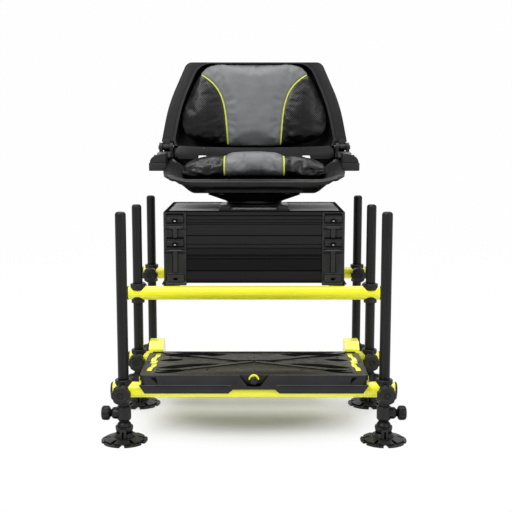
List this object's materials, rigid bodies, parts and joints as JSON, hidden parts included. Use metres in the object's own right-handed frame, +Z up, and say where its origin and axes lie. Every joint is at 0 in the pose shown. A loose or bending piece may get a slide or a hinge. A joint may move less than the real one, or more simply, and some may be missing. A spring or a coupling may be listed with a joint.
{
  "type": "fishing seat box",
  "caption": "Free-standing seat box on adjustable tube legs with mud feet, lift-up trays, folding swivel seat and a footplate in front.",
  "frame": {"origin": "ground level under the middle of the bounding box", "axes": "+Z up, the front with the footplate faces -Y, +X to the right seen from the front"},
  "size_m": [0.713, 0.7516, 0.9053],
  "materials": {
    "lime_paint": "gloss",
    "black_aluminium": "satin black anodised",
    "black_extrusion": "satin black anodised",
    "corner_plastic": "matte",
    "black_plastic": "matte",
    "shell_plastic": "fine grain",
    "leather_black": "soft sheen",
    "grey_mat": "matte",
    "deck_casting": "cast, black coated",
    "foot_rubber": "matte",
    "steel_pin": "blackened"
  },
  "bodies": {
    "main_frame": {"upper_front_tube": "lime_paint", "upper_rear_tube": "lime_paint", "upper_frame_fittings": "black_plastic", "frame_beams": "black_aluminium", "base_panels": "black_extrusion", "base_corners": "corner_plastic"},
    "tray": {"tray_panels": "black_extrusion", "tray_corners": "corner_plastic"},
    "lid": {"lid_panels": "black_extrusion", "lid_corners": "corner_plastic", "lid_mat": "grey_mat", "swivel_base": "black_plastic"},
    "seat": {"swivel_bracket": "black_plastic", "seat_pan": "shell_plastic", "seat_cushion": "leather_black", "seat_hinge_pins": "steel_pin"},
    "backrest": {"backrest_shell": "shell_plastic", "back_cushion": "leather_black"},
    "footplate_frame": {"low_front_tube": "lime_paint", "low_mid_tube": "lime_paint", "low_frame_fittings": "black_plastic", "footplate_rails": "lime_paint"},
    "deck": {"footplate_deck": "deck_casting"},
    "deck_knob": {"deck_knob": "black_plastic"},
    "tray_latch_left": {"tray_latch_left": "black_plastic"},
    "tray_latch_right": {"tray_latch_right": "black_plastic"},
    "lid_latch_left": {"lid_latch_left": "black_plastic"},
    "lid_latch_right": {"lid_latch_right": "black_plastic"},
    "leg_front_left": {"leg_front_left": "black_aluminium", "foot_block_front_left": "black_plastic"},
    "foot_knob_front_left": {"foot_knob_front_left": "black_plastic"},
    "foot_disc_front_left": {"foot_disc_front_left": "foot_rubber"},
    "leg_front_right": {"leg_front_right": "black_aluminium", "foot_block_front_right": "black_plastic"},
    "foot_knob_front_right": {"foot_knob_front_right": "black_plastic"},
    "foot_disc_front_right": {"foot_disc_front_right": "foot_rubber"},
    "leg_mid_left": {"leg_mid_left": "black_aluminium", "foot_block_mid_left": "black_plastic"},
    "foot_knob_mid_left": {"foot_knob_mid_left": "black_plastic"},
    "foot_disc_mid_left": {"foot_disc_mid_left": "foot_rubber"},
    "leg_mid_right": {"leg_mid_right": "black_aluminium", "foot_block_mid_right": "black_plastic"},
    "foot_knob_mid_right": {"foot_knob_mid_right": "black_plastic"},
    "foot_disc_mid_right": {"foot_disc_mid_right": "foot_rubber"},
    "leg_rear_left": {"leg_rear_left": "black_aluminium", "foot_block_rear_left": "black_plastic"},
    "foot_knob_rear_left": {"foot_knob_rear_left": "black_plastic"},
    "foot_disc_rear_left": {"foot_disc_rear_left": "foot_rubber"},
    "leg_rear_right": {"leg_rear_right": "black_aluminium", "foot_block_rear_right": "black_plastic"},
    "foot_knob_rear_right": {"foot_knob_rear_right": "black_plastic"},
    "foot_disc_rear_right": {"foot_disc_rear_right": "foot_rubber"},
    "star_knob_upper_front_left": {"star_knob_upper_front_left": "black_plastic"},
    "star_knob_upper_front_right": {"star_knob_upper_front_right": "black_plastic"},
    "star_knob_upper_rear_left": {"star_knob_upper_rear_left": "black_plastic"},
    "star_knob_upper_rear_right": {"star_knob_upper_rear_right": "black_plastic"},
    "star_knob_low_front_left": {"star_knob_low_front_left": "black_plastic"},
    "star_knob_low_front_right": {"star_knob_low_front_right": "black_plastic"},
    "star_knob_low_mid_left": {"star_knob_low_mid_left": "black_plastic"},
    "star_knob_low_mid_right": {"star_knob_low_mid_right": "black_plastic"}
  },
  "joints": [
    {"name": "tray_hinge", "type": "hinge", "parent": "main_frame", "child": "tray", "pos_m": [0, 0.2836, 0.415], "axis": [-1, 0, 0], "range_deg": [0, 60]},
    {"name": "lid_hinge", "type": "hinge", "parent": "tray", "child": "lid", "pos_m": [0, 0.2836, 0.477], "axis": [-1, 0, 0], "range_deg": [0, 80]},
    {"name": "seat_swivel", "type": "hinge", "parent": "lid", "child": "seat", "pos_m": [0, 0.137, 0.52], "axis": [0, 0, 1], "continuous": true},
    {"name": "backrest_fold", "type": "hinge", "parent": "seat", "child": "backrest", "pos_m": [0, 0.244, 0.668], "axis": [1, 0, 0], "range_deg": [0, 90]},
    {"name": "tray_latch_left_slide", "type": "slide", "parent": "tray", "child": "tray_latch_left", "axis": [0, 0, 1], "range_m": [0, 0.005]},
    {"name": "tray_latch_right_slide", "type": "slide", "parent": "tray", "child": "tray_latch_right", "axis": [0, 0, 1], "range_m": [0, 0.005]},
    {"name": "lid_latch_left_slide", "type": "slide", "parent": "lid", "child": "lid_latch_left", "axis": [0, 0, 1], "range_m": [0, 0.005]},
    {"name": "lid_latch_right_slide", "type": "slide", "parent": "lid", "child": "lid_latch_right", "axis": [0, 0, 1], "range_m": [0, 0.005]},
    {"name": "footplate_height", "type": "slide", "parent": "main_frame", "child": "footplate_frame", "axis": [0, 0, 1], "range_m": [-0.005, 0.09]},
    {"name": "deck_slide", "type": "slide", "parent": "footplate_frame", "child": "deck", "axis": [0, -1, 0], "range_m": [0, 0.12]},
    {"name": "deck_knob_turn", "type": "hinge", "parent": "deck", "child": "deck_knob", "pos_m": [0, -0.338, 0.153], "axis": [0, -1, 0], "continuous": true},
    {"name": "leg_height_front_left", "type": "slide", "parent": "footplate_frame", "child": "leg_front_left", "axis": [0, 0, 1], "range_m": [-0.18, 0.008]},
    {"name": "foot_tilt_front_left", "type": "hinge", "parent": "leg_front_left", "child": "foot_disc_front_left", "pos_m": [-0.3025, -0.318, 0.034], "axis": [1, 0, 0], "range_deg": [-12, 12]},
    {"name": "foot_knob_turn_front_left", "type": "hinge", "parent": "leg_front_left", "child": "foot_knob_front_left", "pos_m": [-0.3025, -0.318, 0.068], "axis": [-1, 0, 0], "continuous": true},
    {"name": "leg_height_front_right", "type": "slide", "parent": "footplate_frame", "child": "leg_front_right", "axis": [0, 0, 1], "range_m": [-0.18, 0.008]},
    {"name": "foot_tilt_front_right", "type": "hinge", "parent": "leg_front_right", "child": "foot_disc_front_right", "pos_m": [0.3025, -0.318, 0.034], "axis": [1, 0, 0], "range_deg": [-12, 12]},
    {"name": "foot_knob_turn_front_right", "type": "hinge", "parent": "leg_front_right", "child": "foot_knob_front_right", "pos_m": [0.3025, -0.318, 0.068], "axis": [1, 0, 0], "continuous": true},
    {"name": "leg_height_mid_left", "type": "slide", "parent": "main_frame", "child": "leg_mid_left", "axis": [0, 0, 1], "range_m": [-0.18, 0.008]},
    {"name": "foot_tilt_mid_left", "type": "hinge", "parent": "leg_mid_left", "child": "foot_disc_mid_left", "pos_m": [-0.3025, -0.018, 0.034], "axis": [1, 0, 0], "range_deg": [-12, 12]},
    {"name": "foot_knob_turn_mid_left", "type": "hinge", "parent": "leg_mid_left", "child": "foot_knob_mid_left", "pos_m": [-0.3025, -0.018, 0.068], "axis": [-1, 0, 0], "continuous": true},
    {"name": "leg_height_mid_right", "type": "slide", "parent": "main_frame", "child": "leg_mid_right", "axis": [0, 0, 1], "range_m": [-0.18, 0.008]},
    {"name": "foot_tilt_mid_right", "type": "hinge", "parent": "leg_mid_right", "child": "foot_disc_mid_right", "pos_m": [0.3025, -0.018, 0.034], "axis": [1, 0, 0], "range_deg": [-12, 12]},
    {"name": "foot_knob_turn_mid_right", "type": "hinge", "parent": "leg_mid_right", "child": "foot_knob_mid_right", "pos_m": [0.3025, -0.018, 0.068], "axis": [1, 0, 0], "continuous": true},
    {"name": "leg_height_rear_left", "type": "slide", "parent": "main_frame", "child": "leg_rear_left", "axis": [0, 0, 1], "range_m": [-0.18, 0.1]},
    {"name": "foot_tilt_rear_left", "type": "hinge", "parent": "leg_rear_left", "child": "foot_disc_rear_left", "pos_m": [-0.3025, 0.322, 0.034], "axis": [1, 0, 0], "range_deg": [-12, 12]},
    {"name": "foot_knob_turn_rear_left", "type": "hinge", "parent": "leg_rear_left", "child": "foot_knob_rear_left", "pos_m": [-0.3025, 0.322, 0.068], "axis": [-1, 0, 0], "continuous": true},
    {"name": "leg_height_rear_right", "type": "slide", "parent": "main_frame", "child": "leg_rear_right", "axis": [0, 0, 1], "range_m": [-0.18, 0.1]},
    {"name": "foot_tilt_rear_right", "type": "hinge", "parent": "leg_rear_right", "child": "foot_disc_rear_right", "pos_m": [0.3025, 0.322, 0.034], "axis": [1, 0, 0], "range_deg": [-12, 12]},
    {"name": "foot_knob_turn_rear_right", "type": "hinge", "parent": "leg_rear_right", "child": "foot_knob_rear_right", "pos_m": [0.3025, 0.322, 0.068], "axis": [1, 0, 0], "continuous": true},
    {"name": "star_knob_upper_front_left_turn", "type": "hinge", "parent": "main_frame", "child": "star_knob_upper_front_left", "pos_m": [-0.3025, -0.018, 0.298], "axis": [0, 1, 0], "continuous": true},
    {"name": "star_knob_upper_front_right_turn", "type": "hinge", "parent": "main_frame", "child": "star_knob_upper_front_right", "pos_m": [0.3025, -0.018, 0.298], "axis": [0, 1, 0], "continuous": true},
    {"name": "star_knob_upper_rear_left_turn", "type": "hinge", "parent": "main_frame", "child": "star_knob_upper_rear_left", "pos_m": [-0.3025, 0.322, 0.298], "axis": [0, -1, 0], "continuous": true},
    {"name": "star_knob_upper_rear_right_turn", "type": "hinge", "parent": "main_frame", "child": "star_knob_upper_rear_right", "pos_m": [0.3025, 0.322, 0.298], "axis": [0, -1, 0], "continuous": true},
    {"name": "star_knob_low_front_left_turn", "type": "hinge", "parent": "footplate_frame", "child": "star_knob_low_front_left", "pos_m": [-0.3025, -0.318, 0.124], "axis": [0, -1, 0], "continuous": true},
    {"name": "star_knob_low_front_right_turn", "type": "hinge", "parent": "footplate_frame", "child": "star_knob_low_front_right", "pos_m": [0.3025, -0.318, 0.124], "axis": [0, -1, 0], "continuous": true},
    {"name": "star_knob_low_mid_left_turn", "type": "hinge", "parent": "footplate_frame", "child": "star_knob_low_mid_left", "pos_m": [-0.3025, -0.018, 0.124], "axis": [0, -1, 0], "continuous": true},
    {"name": "star_knob_low_mid_right_turn", "type": "hinge", "parent": "footplate_frame", "child": "star_knob_low_mid_right", "pos_m": [0.3025, -0.018, 0.124], "axis": [0, -1, 0], "continuous": true}
  ]
}
